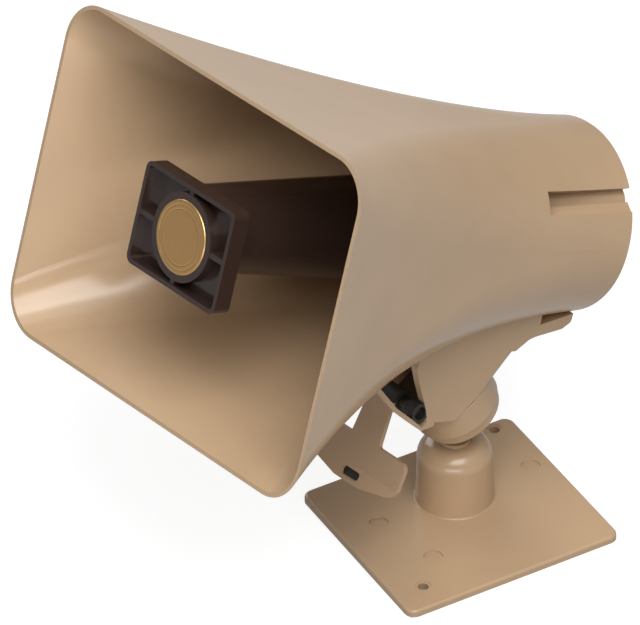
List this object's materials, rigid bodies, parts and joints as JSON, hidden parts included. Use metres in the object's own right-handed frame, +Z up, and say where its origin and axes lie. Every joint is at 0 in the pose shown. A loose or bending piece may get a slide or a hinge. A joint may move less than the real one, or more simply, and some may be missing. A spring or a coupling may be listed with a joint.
{
  "type": "paging horn loudspeaker",
  "caption": "Re-entrant paging horn with a flared rectangular mouth, folded inner duct and a lever-locked ball-joint base on an offset post.",
  "frame": {"origin": "centre of the base plate's two screw holes, on the plate's underside", "axes": "+Z up out of the plate, the mouth faces -Y, +X to the horn's own left"},
  "size_m": [0.3239, 0.3807, 0.4092],
  "materials": {
    "beige": "glossy",
    "lever_beige": "satin",
    "painted_ball": "satin",
    "dark_brown": "satin",
    "gold": "brushed",
    "bearing_plastic": "matt",
    "steel": "zinc plated",
    "dark_steel": "dark",
    "zinc": "zinc plated",
    "copper": "lacquered wire",
    "ferrite": "matt",
    "laminations": "varnished",
    "black_rubber": "matt"
  },
  "bodies": {
    "base": {"mount_base": "beige"},
    "ball": {"ball_stud": "painted_ball", "stud_washer": "steel", "stud_nut": "steel"},
    "liner": {"ball_liner": "bearing_plastic"},
    "lever": {"clamp_lever": "lever_beige"},
    "tap": {"tap_knob": "dark_brown"},
    "horn": {"pressure_saddle": "zinc", "collar_ring": "beige", "socket_housing": "beige", "clamp_rocker": "dark_steel", "lever_pin": "dark_steel", "rocker_pin": "steel", "bracket_screw_1": "steel", "bracket_screw_2": "steel", "horn_bell": "beige", "reflector_front": "dark_brown", "medallion": "gold", "tone_arm": "dark_brown", "throat_tube": "dark_brown", "driver_plate": "zinc", "driver_screw_1": "steel", "driver_screw_2": "steel", "driver_screw_3": "steel", "driver_screw_4": "steel", "diaphragm": "bearing_plastic", "voice_coil": "copper", "magnet": "ferrite", "yoke": "zinc", "transformer": "laminations", "rear_cover": "beige", "cover_gasket": "black_rubber", "cover_screw_1": "steel", "cover_screw_2": "steel", "cover_screw_3": "steel", "cable_gland": "dark_brown", "gland_locknut": "dark_brown"}
  },
  "joints": [
    {"name": "pan", "type": "hinge", "parent": "base", "child": "ball", "pos_m": [-0.0125, 0.004, 0.083], "axis": [0, 0, 1], "continuous": true},
    {"name": "tilt", "type": "hinge", "parent": "ball", "child": "liner", "pos_m": [-0.0125, 0.004, 0.083], "axis": [-0.9955, 0.0948, 0], "range_deg": [-18, 62]},
    {"name": "twist", "type": "hinge", "parent": "liner", "child": "horn", "pos_m": [-0.0125, 0.004, 0.083], "axis": [-0.0412, -0.4323, 0.9008], "continuous": true},
    {"name": "lever_swing", "type": "hinge", "parent": "horn", "child": "lever", "pos_m": [-0.00858, -0.0451, 0.11083], "axis": [-0.9832, -0.1428, -0.1135], "range_deg": [0, 70]},
    {"name": "tap_turn", "type": "hinge", "parent": "horn", "child": "tap", "pos_m": [-0.02062, 0.11169, 0.19405], "axis": [-0.0925, 0.9265, -0.3649], "range_deg": [-150, 150]}
  ]
}
